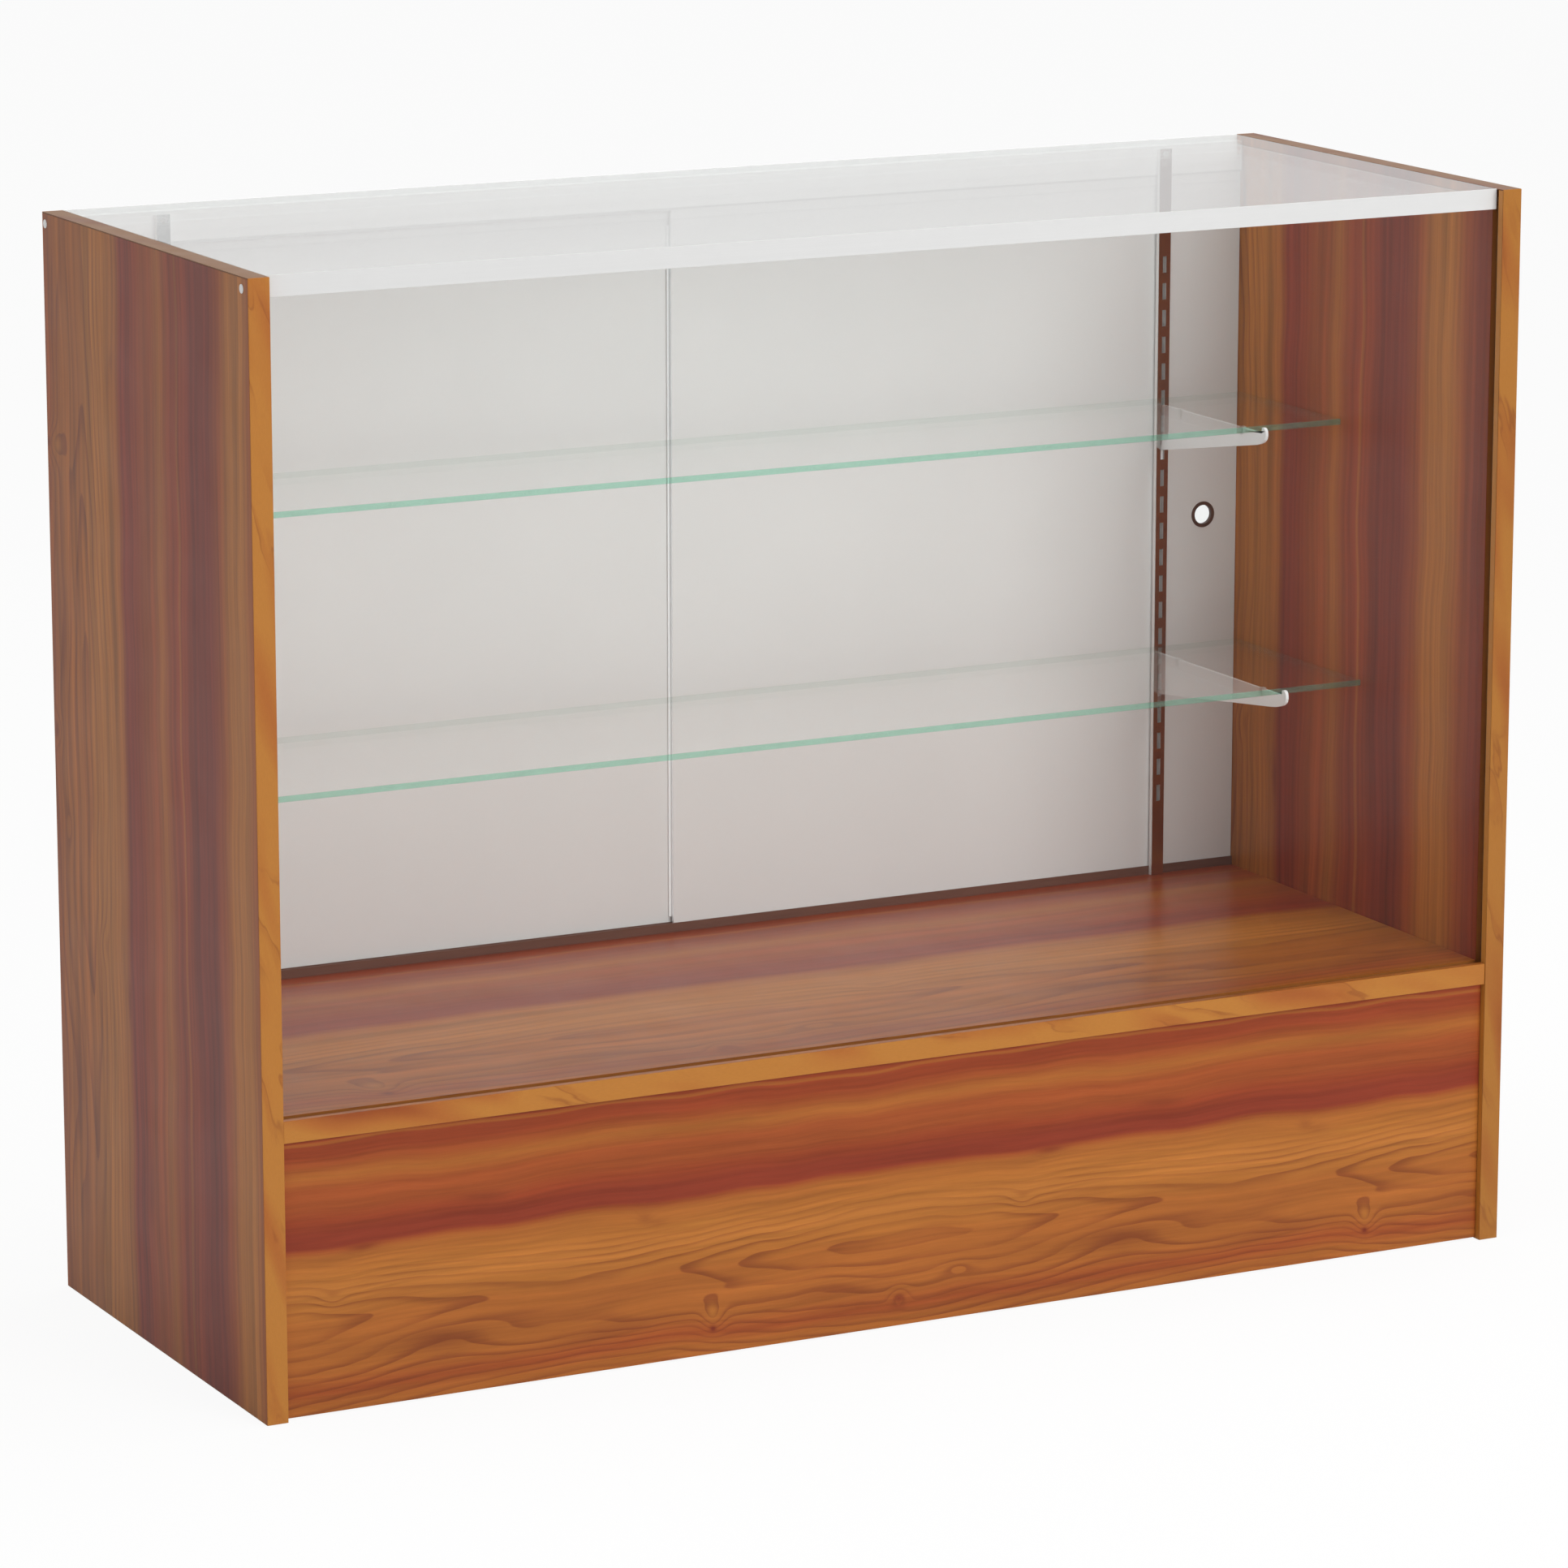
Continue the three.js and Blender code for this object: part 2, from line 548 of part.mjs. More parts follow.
function shelfSet(shelf) {
  const reach = INNER - SHELF_SIDE_GAP;
  const pieces = [block(`${shelf.name}_shelf_glass`, [-reach, reach], [shelf.front, SHELF_BACK],
    [shelf.underside, shelf.underside + SHELF_THICKNESS], floatGlass)];
  for (const [side, label] of [[-1, "left"], [1, "right"]]) {
    pieces.push(bracket(side, label, shelf));
    for (const [index, place] of ["front", "rear"].entries()) {
      const y = bumperStations(shelf)[index];
      pieces.push(bumper(side, y, shelf, `${shelf.name}_${label}_${place}_bumper`));
    }
  }
  return pieces;
}

// ---------------------------------------------------------------- assembly

const showcase = new THREE.Group();
for (const [side, label] of [[-1, "left"], [1, "right"]]) {
  showcase.add(endPanel(side, label), ...panelBands(side, label));
  showcase.add(standard(side, label), standardScrew(side, label));
}
showcase.add(...deck(), ...base(), ...knockDownFittings());
showcase.add(frontRail(), headerRail(), doorTrack(), ...railFixings(), ...caseGlass());
showcase.add(...door(1, "right", nearGroove), ...door(-1, "left", farGroove));
for (const shelf of SHELVES) {
  showcase.add(...shelfSet(shelf));
}

export default showcase;
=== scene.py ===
"""Looks of a glass display showcase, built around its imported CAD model, which is the fixed frame.

Metres, +Z up, the customer's side faces -Y. Laminate prints are worked out in millimetres.
"""

import json
import math

import bmesh
import bpy
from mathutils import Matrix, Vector


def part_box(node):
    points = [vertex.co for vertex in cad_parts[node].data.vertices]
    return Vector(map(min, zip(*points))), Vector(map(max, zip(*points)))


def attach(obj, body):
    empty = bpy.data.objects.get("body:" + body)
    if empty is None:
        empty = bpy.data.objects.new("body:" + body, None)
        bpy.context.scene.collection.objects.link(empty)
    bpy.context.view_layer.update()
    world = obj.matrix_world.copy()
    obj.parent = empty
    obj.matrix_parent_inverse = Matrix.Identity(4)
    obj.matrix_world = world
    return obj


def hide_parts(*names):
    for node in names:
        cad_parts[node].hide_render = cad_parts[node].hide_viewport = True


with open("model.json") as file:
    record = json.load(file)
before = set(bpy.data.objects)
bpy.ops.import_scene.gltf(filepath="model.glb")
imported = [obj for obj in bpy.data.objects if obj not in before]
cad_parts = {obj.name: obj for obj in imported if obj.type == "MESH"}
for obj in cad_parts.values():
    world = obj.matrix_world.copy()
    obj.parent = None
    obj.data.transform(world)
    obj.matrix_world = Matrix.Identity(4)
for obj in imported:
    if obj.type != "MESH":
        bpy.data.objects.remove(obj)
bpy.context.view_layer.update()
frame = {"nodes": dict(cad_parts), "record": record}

MM = 0.001

LAMINATE_IOR = 1.47
LAMINATE_RELIEF = 0.005 * MM

# ---------------------------------------------------------------- sizes of the detailed pieces

# A finger pull's wall at its mouth and inside the door, and the gap between a piece and its seat.
PULL_MOUTH_WALL = 3.5 * MM
PULL_SLEEVE_WALL = 2.3 * MM
SEAT_GAP = 0.05 * MM
ARC_STEPS = 6
# Screw caps: a power under 1 flattens the dome. The stem's widths are shares of the cap's radius.
CAP_STEPS = 8
CAP_FLATNESS = 0.7
CAP_STEM_TOP, CAP_STEM_FOOT = 0.87, 0.85
# Pan heads: the rim as a share of the height, the shank of the radius, and where the taper starts.
# The cross recess is in shares of the head's radius, and its depth of the head's height.
SCREW_HEAD_STEPS = 7
SCREW_RIM, SCREW_SHANK, SCREW_TAPER = 0.35, 0.57, 0.8
RECESS_REACH, RECESS_HALF_WIDTH, RECESS_DEPTH = 0.62, 0.16, 0.62
# The seal between the doors: past the right door's edge and over it, clear of each door, and
# short of the door's foot and head.
STRIP_OVERHANG, STRIP_HOLD = 2.6 * MM, 4.2 * MM
STRIP_GAP_RIGHT, STRIP_GAP_LEFT = 0.01 * MM, 0.2 * MM
STRIP_FOOT, STRIP_HEAD = 12 * MM, 20 * MM

# ---------------------------------------------------------------- studio

CAMERA_PLACE = (-2.6726, -5.1776, 1.733)
# Degrees to the right of straight ahead, and down.
CAMERA_YAW, CAMERA_PITCH = 27.24, 12.49
CAMERA_LENS = 153.8
WHITE = (1.0, 1.0, 1.0)
AMBIENT = 0.50
# Of what the camera sees of the floor, the share that is emitted and not lit.
FLOOR_SHARE_SEEN = 0.92
FLOOR_SIZE = 30.0
FLOOR_DROP = 0.3 * MM

# ---------------------------------------------------------------- colours, linear

HONEY = (0.43, 0.152, 0.026)
TAN = (0.405, 0.138, 0.022)
CARAMEL = (0.365, 0.112, 0.019)
RUSSET = (0.31, 0.068, 0.015)
BRICK = (0.27, 0.046, 0.013)
OXBLOOD = (0.228, 0.034, 0.014)
PLUM = (0.205, 0.032, 0.015)
GRAIN_LINE = (0.17, 0.034, 0.011)
KNOT = (0.17, 0.022, 0.010)
GROOVE_SEALER = (0.34, 0.12, 0.03)

BAND_LIGHT = (0.50, 0.195, 0.030)
BAND_MID = (0.44, 0.135, 0.022)
BAND_DARK = (0.33, 0.075, 0.014)
BAND_MARK = (0.22, 0.045, 0.012)

# ---------------------------------------------------------------- node maths


class Field:
    """A number or colour that varies over a surface, held as a socket of a node tree."""

    def __init__(self, tree, socket):
        self.tree = tree
        self.socket = socket

    def op(self, operation, *others):
        node = self.tree.nodes.new("ShaderNodeMath")
        node.operation = operation
        for slot, value in zip(node.inputs, (self, *others)):
            plug(self.tree, slot, value)
        return Field(self.tree, node.outputs[0])

    def __add__(self, other):
        return self.op("ADD", other)

    def __sub__(self, other):
        return self.op("SUBTRACT", other)

    def __mul__(self, other):
        return self.op("MULTIPLY", other)

    def __truediv__(self, other):
        return self.op("DIVIDE", other)

    def squared(self):
        return self * self

    def ease(self, low, high, start=0.0, end=1.0):
        """start below low, end above high, and a smooth step between them."""
        node = self.tree.nodes.new("ShaderNodeMapRange")
        node.interpolation_type = "SMOOTHSTEP"
        for slot, value in zip(node.inputs, (self, low, high, start, end)):
            plug(self.tree, slot, value)
        return Field(self.tree, node.outputs[0])


def plug(tree, slot, value):
    """Feeds an input from a Field, a number, a colour or a vector."""
    if isinstance(value, Field):
        tree.links.new(value.socket, slot)
    elif isinstance(value, tuple) and slot.type == "RGBA":
        slot.default_value = (*value, 1.0)
    else:
        slot.default_value = value


def vector(tree, x, y, z):
    node = tree.nodes.new("ShaderNodeCombineXYZ")
    for slot, value in zip(node.inputs, (x, y, z)):
        plug(tree, slot, value)
    return Field(tree, node.outputs[0])


def mix(tree, share, first, second):
    node = tree.nodes.new("ShaderNodeMix")
    node.data_type = "RGBA"
    plug(tree, node.inputs[0], share)
    plug(tree, node.inputs[6], first)
    plug(tree, node.inputs[7], second)
    return Field(tree, node.outputs[2])


def scaled(tree, colour, amount):
    """A colour times a number."""
    node = tree.nodes.new("ShaderNodeVectorMath")
    node.operation = "SCALE"
    plug(tree, node.inputs[0], colour)
    plug(tree, node.inputs["Scale"], amount)
    return Field(tree, node.outputs[0])


def noise(tree, x, y, z, detail=2.0):
    """Noise of about 0.2 to 0.8 whose features are one unit wide."""
    node = tree.nodes.new("ShaderNodeTexNoise")
    plug(tree, node.inputs["Vector"], vector(tree, x, y, z))
    node.inputs["Scale"].default_value = 1.0
    node.inputs["Detail"].default_value = detail
    return Field(tree, node.outputs["Fac"])


def cells(tree, x, y, z):
    """A random colour for each cell, about one unit wide."""
    node = tree.nodes.new("ShaderNodeTexVoronoi")
    plug(tree, node.inputs["Vector"], vector(tree, x, y, z))
    node.inputs["Scale"].default_value = 1.0
    return Field(tree, node.outputs["Color"])


def ramp(field, stops):
    """A colour for each value of a field, from (value, colour) stops between 0 and 1."""
    node = field.tree.nodes.new("ShaderNodeValToRGB")
    plug(field.tree, node.inputs[0], field)
    elements = node.color_ramp.elements
    while len(elements) < len(stops):
        elements.new(1.0)
    for element, (position, colour) in zip(elements, stops):
        element.position = position
        element.color = (*colour, 1.0)
    return Field(field.tree, node.outputs[0])


def place(tree):
    """The point on the piece, in millimetres along X, Y and Z."""
    point = tree.nodes.new("ShaderNodeTexCoord").outputs["Object"]
    split = tree.nodes.new("ShaderNodeSeparateXYZ")
    tree.links.new(point, split.inputs[0])
    return [Field(tree, output) * (1 / MM) for output in split.outputs]


def facing(tree):
    """How far the surface faces along X, Y and Z, each from 0 to 1."""
    normal = tree.nodes.new("ShaderNodeTexCoord").outputs["Normal"]
    split = tree.nodes.new("ShaderNodeSeparateXYZ")
    tree.links.new(normal, split.inputs[0])
    return [Field(tree, output).op("ABSOLUTE") for output in split.outputs]


def relief(tree, height, depth):
    """A normal bumped by a height of 0 to 1 that stands for a real depth in metres."""
    node = tree.nodes.new("ShaderNodeBump")
    node.inputs["Strength"].default_value = 1.0
    node.inputs["Distance"].default_value = depth
    plug(tree, node.inputs["Height"], height)
    return Field(tree, node.outputs[0])


def new_material(name):
    """An empty material: its node tree and its Principled shader."""
    material = bpy.data.materials.new(name)
    material.use_nodes = True
    shader = material.node_tree.nodes["Principled BSDF"]
    return material, material.node_tree, shader


def coat(tree, shader, colour, roughness=None, normal=None):
    for name, value in (("Base Color", colour), ("Roughness", roughness), ("Normal", normal)):
        if value is not None:
            plug(tree, shader.inputs[name], value)


# ---------------------------------------------------------------- laminate

# One printed sheet, in millimetres of the print. "along" runs with the grain and repeats, and
# "across" is 0 where a dark stripe ends in a sharp edge, with the light flat-sawn figure beyond.
PRINT_REPEAT = 661.0
PRINT_LOW, PRINT_HIGH = -242.0, 142.0
STRIPES = [
    (-242, PLUM), (-222, PLUM), (-206, RUSSET), (-190, HONEY), (-168, TAN), (-154, RUSSET),
    (-138, PLUM), (-112, PLUM), (-97, BRICK), (-93.5, BRICK), (-91, CARAMEL), (-89, BRICK),
    (-80, BRICK), (-72, RUSSET), (-62, CARAMEL), (-50, RUSSET), (-36, RUSSET), (-25, BRICK),
    (-13, OXBLOOD), (-2, OXBLOOD), (1.2, RUSSET), (6, CARAMEL), (22, TAN), (38, HONEY),
    (54, TAN), (66, CARAMEL), (92, CARAMEL), (108, CARAMEL), (124, RUSSET), (136, CARAMEL),
]
# Flat-sawn figure: growth rings are the contour lines of a smooth surface with its saddle here.
FIGURE = {"along": 594.0, "across": 66.0, "rise": 0.0415, "far_side": 0.6, "swing": 1.3}
# Where the rings bend into an S, and where they are pushed aside. Both spots are (along, across,
# half length, half width, strength), and the S has a wave across the grain.
S_BEND = {"spot": (350, 78, 85, 40, 48), "across": 60.0, "wave": 54.0}
PUSH = (205, 95, 58, 26, -42)
BOWL_SOFTNESS, BOWL_POWER = 30.0, 0.65
BOWL_FOOT = 9.12
# (along, across, half length, half width, rings): knots, eyes and swirls that bend the rings.
SWIRLS = [
    (400, 112, 11, 14, -2.0), (582, 116, 10, 9, 1.6), (640, 100, 18, 6, 0.8), (335, 8, 8, 9, 1.5),
    (185, -28, 22, 5, 1.3), (44, 43, 12, 7, 0.9), (140, 92, 46, 11, 0.6), (500, 98, 44, 8, 0.5),
    (72, 8, 14, 7, 0.8), (345, 106, 66, 19, -1.7), (228, 102, 55, 17, -1.3),
]
# (along, across, half length, half width, strength) of dark and of red-brown patches.
SMUDGES = [
    (140, 92, 36, 9, 0.5), (300, 108, 60, 8, 0.35), (520, 104, 60, 7, 0.35), (620, 60, 24, 6, 0.15),
    (185, -28, 24, 5, 0.5), (95, 52, 40, 7, 0.15), (335, 12, 7, 5, 0.3), (348, 17, 10, 3, 0.25),
]
KNOTS = [(400, 121, 3.2, 3.0, 1.0), (582, 117, 5.0, 3.0, 0.7), (72, 3, 16, 4, 0.6)]
GLINTS = [(387, 23, 22, 1.3, 0.45), (400, 106, 5, 8, 0.35)]


def wrapped(along, centre):
    """Distance along the repeating print from a feature's centre."""
    return (along - centre).op("WRAP", PRINT_REPEAT / 2, -PRINT_REPEAT / 2)


def patch(along, across, feature):
    """A soft elliptical spot, as strong as its last number in the middle."""
    centre, offset, length, width, strength = feature
    spread = (wrapped(along, centre) / length).squared() + ((across - offset) / width).squared()
    return (spread * -1.0).op("EXPONENT") * strength


def patches(along, across, features):
    total = patch(along, across, features[0])
    for feature in features[1:]:
        total = total + patch(along, across, feature)
    return total


def print_noise(tree, along, across, length, width, seed=0.0, detail=2.0):
    """Noise stretched along the grain that repeats with the print."""
    turn = along * (2 * math.pi / PRINT_REPEAT)
    radius = PRINT_REPEAT / (2 * math.pi * length)
    x = turn.op("COSINE") * radius + seed
    y = turn.op("SINE") * radius
    return noise(tree, x, y, across * (1 / width), detail)


def laminate_sheet():
    """Node group that draws the printed sheet: its colour, and the height of its pores."""
    tree = bpy.data.node_groups.new("laminate_sheet", "ShaderNodeTree")
    for name in ("Along", "Across", "Streaks"):
        tree.interface.new_socket(name, in_out="INPUT", socket_type="NodeSocketFloat")
    tree.interface.new_socket("Colour", in_out="OUTPUT", socket_type="NodeSocketColor")
    tree.interface.new_socket("Height", in_out="OUTPUT", socket_type="NodeSocketFloat")
    ends = tree.nodes.new("NodeGroupInput").outputs
    along, straight = Field(tree, ends["Along"]), Field(tree, ends["Across"])
    streaky = Field(tree, ends["Streaks"])

    drift = print_noise(tree, along, straight, 120, 90, detail=1.0) - 0.5
    across = straight + drift * 14.0
    span = PRINT_HIGH - PRINT_LOW
    stripes = (across - PRINT_LOW) * (1 / span)
    colour = ramp(stripes, [((at - PRINT_LOW) / span, shade) for at, shade in STRIPES])

    side = across.ease(58.0, 82.0, FIGURE["rise"], FIGURE["rise"] * FIGURE["far_side"])
    hollow = (across - FIGURE["across"]).squared() + BOWL_SOFTNESS
    bowl = (hollow.op("POWER", BOWL_POWER) - BOWL_FOOT) * side
    wave = ((across - S_BEND["across"]) * (2 * math.pi / S_BEND["wave"])).op("SINE")
    bend = patch(along, across, S_BEND["spot"]) * wave + patch(along, across, PUSH)
    middle = wrapped(along, FIGURE["along"]) - bend
    swing = (middle * (2 * math.pi / PRINT_REPEAT)).op("COSINE")
    wander = (print_noise(tree, along, across, 110, 26, 3.0) - 0.5) * 1.3
    rings = bowl - swing * FIGURE["swing"] + patches(along, across, SWIRLS) + wander
    step = rings.op("FRACT")
    latewood = step.ease(0.45, 0.95) * step.ease(0.95, 1.0, 1.0, 0.0)
    flat_sawn = across.ease(6.0, 56.0, 0.16, 1.0)
    strong = print_noise(tree, along, across, 130, 30, 17.0, 1.0).ease(0.35, 0.65, 0.28, 0.62)
    colour = mix(tree, latewood * flat_sawn * strong, colour, GRAIN_LINE)

    tone = (print_noise(tree, along, across, 150, 11, 7.0) - 0.5) * 0.42
    streaks = (print_noise(tree, along, across, 260, 3.2, 11.0, 3.0) - 0.5) * 0.55
    wide = (print_noise(tree, along, across, 420, 5.0, 29.0, 3.0) - 0.5) * 1.15
    fibres = (noise(tree, along / 22.0, across / 0.9, 5.0) - 0.5) * 0.20
    colour = scaled(tree, colour, tone + streaks + wide * streaky + fibres + 1.0)
    colour = mix(tree, patches(along, across, SMUDGES).op("MINIMUM", 0.7), colour, GRAIN_LINE)
    colour = mix(tree, patches(along, across, KNOTS).op("MINIMUM", 0.9), colour, KNOT)
    colour = mix(tree, patches(along, across, GLINTS).op("MINIMUM", 0.6), colour, BAND_LIGHT)

    pores = noise(tree, along / 9.0, across / 0.45, 21.0, detail=1.0).ease(0.62, 0.74)
    colour = mix(tree, pores * 0.15, colour, GRAIN_LINE)
    height = pores * -0.7 + fibres
    out = tree.nodes.new("NodeGroupOutput")
    plug(tree, out.inputs["Colour"], colour)
    plug(tree, out.inputs["Height"], height)
    return tree


def raw_board_colour(tree, x, y, z):
    """Pressed wood chips, a few millimetres long, and its height."""
    chip = cells(tree, x / 3.2, y / 3.2, z / 1.6)
    split = tree.nodes.new("ShaderNodeSeparateColor")
    plug(tree, split.inputs[0], chip)
    tone = Field(tree, split.outputs[0])
    colour = ramp(tone, [(0.0, (0.16, 0.075, 0.03)), (0.45, (0.30, 0.16, 0.07)),
                         (0.8, (0.40, 0.24, 0.11)), (1.0, (0.50, 0.33, 0.17))])
    dust = noise(tree, x / 0.8, y / 0.8, z / 0.8)
    return scaled(tree, colour, dust * 0.5 + 0.75), tone


def laminate(name, sheet, along, across, gloss=0.30, streaks=0.0, shade=1.0,
             groove=None, lipping=None, index=LAMINATE_IOR):
    """Laminated board. along and across map a point in millimetres onto the sheet. groove and
    lipping give, from the point, where a sealed groove and the wrapped edge band show. The cut
    bottom edge shows the bare core."""
    material, tree, shader = new_material(name)
    x, y, z = place(tree)
    group = tree.nodes.new("ShaderNodeGroup")
    group.node_tree = sheet
    plug(tree, group.inputs["Along"], along(x, y, z))
    plug(tree, group.inputs["Across"], across(x, y, z))
    plug(tree, group.inputs["Streaks"], streaks)
    # shade scales the print's colour; away from 1 it is painted light and shade (the end panels).
    colour = scaled(tree, Field(tree, group.outputs["Colour"]), shade)
    height = Field(tree, group.outputs["Height"])
    wear = noise(tree, x / 60.0, y / 60.0, z / 60.0, 4.0)
    roughness = wear * 0.14 + gloss
    if lipping is not None:
        colour = mix(tree, lipping(x, y, z), colour, BAND_LIGHT)
    if groove is not None:
        colour = mix(tree, groove(x, y, z), colour, GROOVE_SEALER)
    core, core_height = raw_board_colour(tree, x, y, z)
    bare = z.ease(0.3, 0.6, 1.0, 0.0)
    colour = mix(tree, bare, colour, core)
    coat(tree, shader, colour, roughness + bare * 0.4,
         relief(tree, height + bare * core_height * 20.0, LAMINATE_RELIEF))
    shader.inputs["IOR"].default_value = index
    return material


def end_panel_laminate(sheet, label, edge, scale, centre, shade, index):
    """Upright grain. edge is where the dark stripe ends along Y, and centre the height of the
    figure's middle."""
    outer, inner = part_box(f"{label}_end_panel")
    thick = (inner.x - outer.x) / MM
    face = min(abs(inner.x), abs(outer.x)) / MM
    glass_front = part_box("front_glass")[0].y / MM

    def sealed(x, y, z):
        depth = x.op("ABSOLUTE") - face
        return depth.ease(0.4, 0.6) * depth.ease(thick - 1.0, thick - 0.7, 1.0, 0.0)

    def wrap(x, y, z):
        inside = (x.op("ABSOLUTE") - face).ease(thick * 0.4, thick * 0.5, 1.0, 0.0)
        return (y - (glass_front - 4.0)).ease(-0.3, 0.3, 1.0, 0.0) * inside

    return laminate(
        f"{label}_end_panel_laminate", sheet,
        lambda x, y, z: (z * -1.0 + centre) / scale + FIGURE["along"],
        lambda x, y, z: (y - edge) / scale,
        gloss=0.32, streaks=1.0, shade=shade, groove=sealed, lipping=wrap, index=index,
    )


def edge_band(name, along, across, shade=1.0):
    """Orange-brown edge band with cloudy darker stretches and a few slanting dark marks."""
    material, tree, shader = new_material(name)
    point = place(tree)
    along, across, depth = point[along], point[across], point[3 - along - across]
    slant = along + across * 2.2
    cloud = noise(tree, slant / 150.0, across / 60.0, 2.0, detail=1.5)
    colour = ramp(cloud, [(0.30, BAND_LIGHT), (0.50, BAND_LIGHT), (0.62, BAND_MID),
                          (0.74, BAND_DARK)])
    contour = noise(tree, slant / 95.0, across / 55.0, 9.0, detail=3.0)
    mark = (contour - 0.5).op("ABSOLUTE").ease(0.0, 0.016, 1.0, 0.0)
    present = noise(tree, along / 120.0, 3.0, 1.0, detail=0.0).ease(0.48, 0.60)
    colour = mix(tree, mark * present * 0.42, colour, BAND_MARK)
    shadow = (contour - 0.53).op("ABSOLUTE").ease(0.0, 0.05, 1.0, 0.0)
    colour = mix(tree, shadow * present * 0.25, colour, BAND_DARK)
    fleck = noise(tree, across / 0.9, along / 5.0, depth / 0.9)
    # shade scales the band's colour; the differences between bands are painted shade for how the
    # light falls on each.
    colour = scaled(tree, colour, (fleck * 0.16 + 0.92) * shade)
    roughness = noise(tree, along / 30.0, across / 30.0, 6.0) * 0.14 + 0.34
    coat(tree, shader, colour, roughness, relief(tree, fleck, 0.00003))
    shader.inputs["IOR"].default_value = LAMINATE_IOR
    return material


# ---------------------------------------------------------------- other finishes


def raw_board(name):
    material, tree, shader = new_material(name)
    x, y, z = place(tree)
    colour, height = raw_board_colour(tree, x, y, z)
    coat(tree, shader, colour, 0.82, relief(tree, height, 0.0002))
    return material


def white_board(name):
    """White melamine-faced board with a faint orange-peel texture, and metallic edges along X whose
    colour is painted brighter than the board: painted light that lifts the shade where the doors
    meet.
    """
    material, tree, shader = new_material(name)
    x, y, z = place(tree)
    grain = noise(tree, x / 1.6, y / 1.6, z / 1.6, detail=3.0)
    cloud = noise(tree, x / 160.0, y / 160.0, z / 160.0)
    colour = mix(tree, cloud, (0.755, 0.75, 0.745), (0.795, 0.79, 0.785))
    # Faces along X: partly metallic edging, partly painted light, brighter to lift the shade at the
    # seam.
    metal_edge_and_painted_light = facing(tree)[0].ease(0.5, 0.9)
    colour = mix(tree, metal_edge_and_painted_light, scaled(tree, colour, grain * 0.07 + 0.965), (0.97, 0.98, 1.0))
    coat(tree, shader, colour, cloud * 0.12 + 0.42 - metal_edge_and_painted_light * 0.16, relief(tree, grain, 0.00003))
    plug(tree, shader.inputs["Metallic"], metal_edge_and_painted_light * 0.85)
    return material


def white_aluminium(name, tone, groove=None):
    """White satin anodised extrusion, with fine die lines along X. tone scales its colour and is
    painted light and shade:
    the same aluminium set lighter or darker by how the light falls on each rail. groove is the height
    of a narrow dark stripe along it, a painted shadow where the doors go in under the rail."""
    material, tree, shader = new_material(name)
    x, y, z = place(tree)
    lines = noise(tree, x / 260.0, y / 0.35, z / 0.35, detail=3.0)
    rub = noise(tree, x / 35.0, y / 9.0, z / 9.0, 4.0)
    colour = mix(tree, rub, (0.97, 0.97, 0.965), (1.0, 1.0, 0.995))
    if groove is not None:
        # Painted shadow: a narrow dark stripe at the height groove, at the foot of the rail's front.
        painted_shadow_line = (z - groove).op("ABSOLUTE").ease(0.5, 1.6, 1.0, 0.0)
        colour = mix(tree, painted_shadow_line * 0.55, colour, (0.30, 0.29, 0.28))
    coat(tree, shader, scaled(tree, colour, (lines * 0.06 + 0.97) * tone),
         lines * 0.14 + 0.26, relief(tree, lines, 0.00002))
    return material


def brown_plastic(name, tone=1.0):
    material, tree, shader = new_material(name)
    x, y, z = place(tree)
    grain = noise(tree, x / 0.6, y / 0.6, z / 0.6, detail=3.0)
    scuff = noise(tree, x / 40.0, y / 3.0, z / 3.0, 2.0)
    colour = mix(tree, scuff, (0.085, 0.038, 0.027), (0.118, 0.055, 0.039))
    colour = scaled(tree, colour, grain * 0.1 + (tone - 0.05))
    coat(tree, shader, colour, scuff * 0.2 + 0.34, relief(tree, grain, 0.00003))
    return material


def slotted_standard(name):
    """A polished face on a channel that is painted white behind it."""
    material = plated_steel(name, (0.62, 0.61, 0.59), 0.20, 120.0)
    tree = material.node_tree
    shader = tree.nodes["Principled BSDF"]
    x, y, z = place(tree)
    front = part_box("left_standard")[0].y / MM
    polished = (y - (front + 0.55)).ease(0.0, 0.15, 1.0, 0.0)
    metal = Field(tree, shader.inputs["Base Color"].links[0].from_socket)
    coat(tree, shader, mix(tree, polished, (0.96, 0.96, 0.955), metal))
    plug(tree, shader.inputs["Metallic"], polished)
    return material


def plated_steel(name, shade, roughness, streak):
    """Zinc plate: streaks along Z where streak is long, with a faint bloom in the gloss."""
    material, tree, shader = new_material(name)
    x, y, z = place(tree)
    lines = noise(tree, x / 0.4, y / 0.4, z / streak, detail=2.0)
    bloom = noise(tree, x / 6.0, y / 6.0, z / 14.0, 3.0)
    dull = tuple(0.86 * channel for channel in shade)
    coat(tree, shader, mix(tree, bloom, dull, shade),
         lines * 0.12 + bloom * 0.10 + (roughness - 0.11), relief(tree, lines, 0.00001))
    shader.inputs["Metallic"].default_value = 1.0
    return material


def powder_coat(name):
    material, tree, shader = new_material(name)
    x, y, z = place(tree)
    peel = noise(tree, x / 0.9, y / 0.9, z / 0.9, detail=2.0)
    cloud = noise(tree, x / 18.0, y / 18.0, z / 18.0)
    colour = mix(tree, cloud, (0.93, 0.95, 0.96), (0.95, 0.97, 0.98))
    coat(tree, shader, colour, peel * 0.16 + 0.28, relief(tree, peel, 0.00005))
    return material


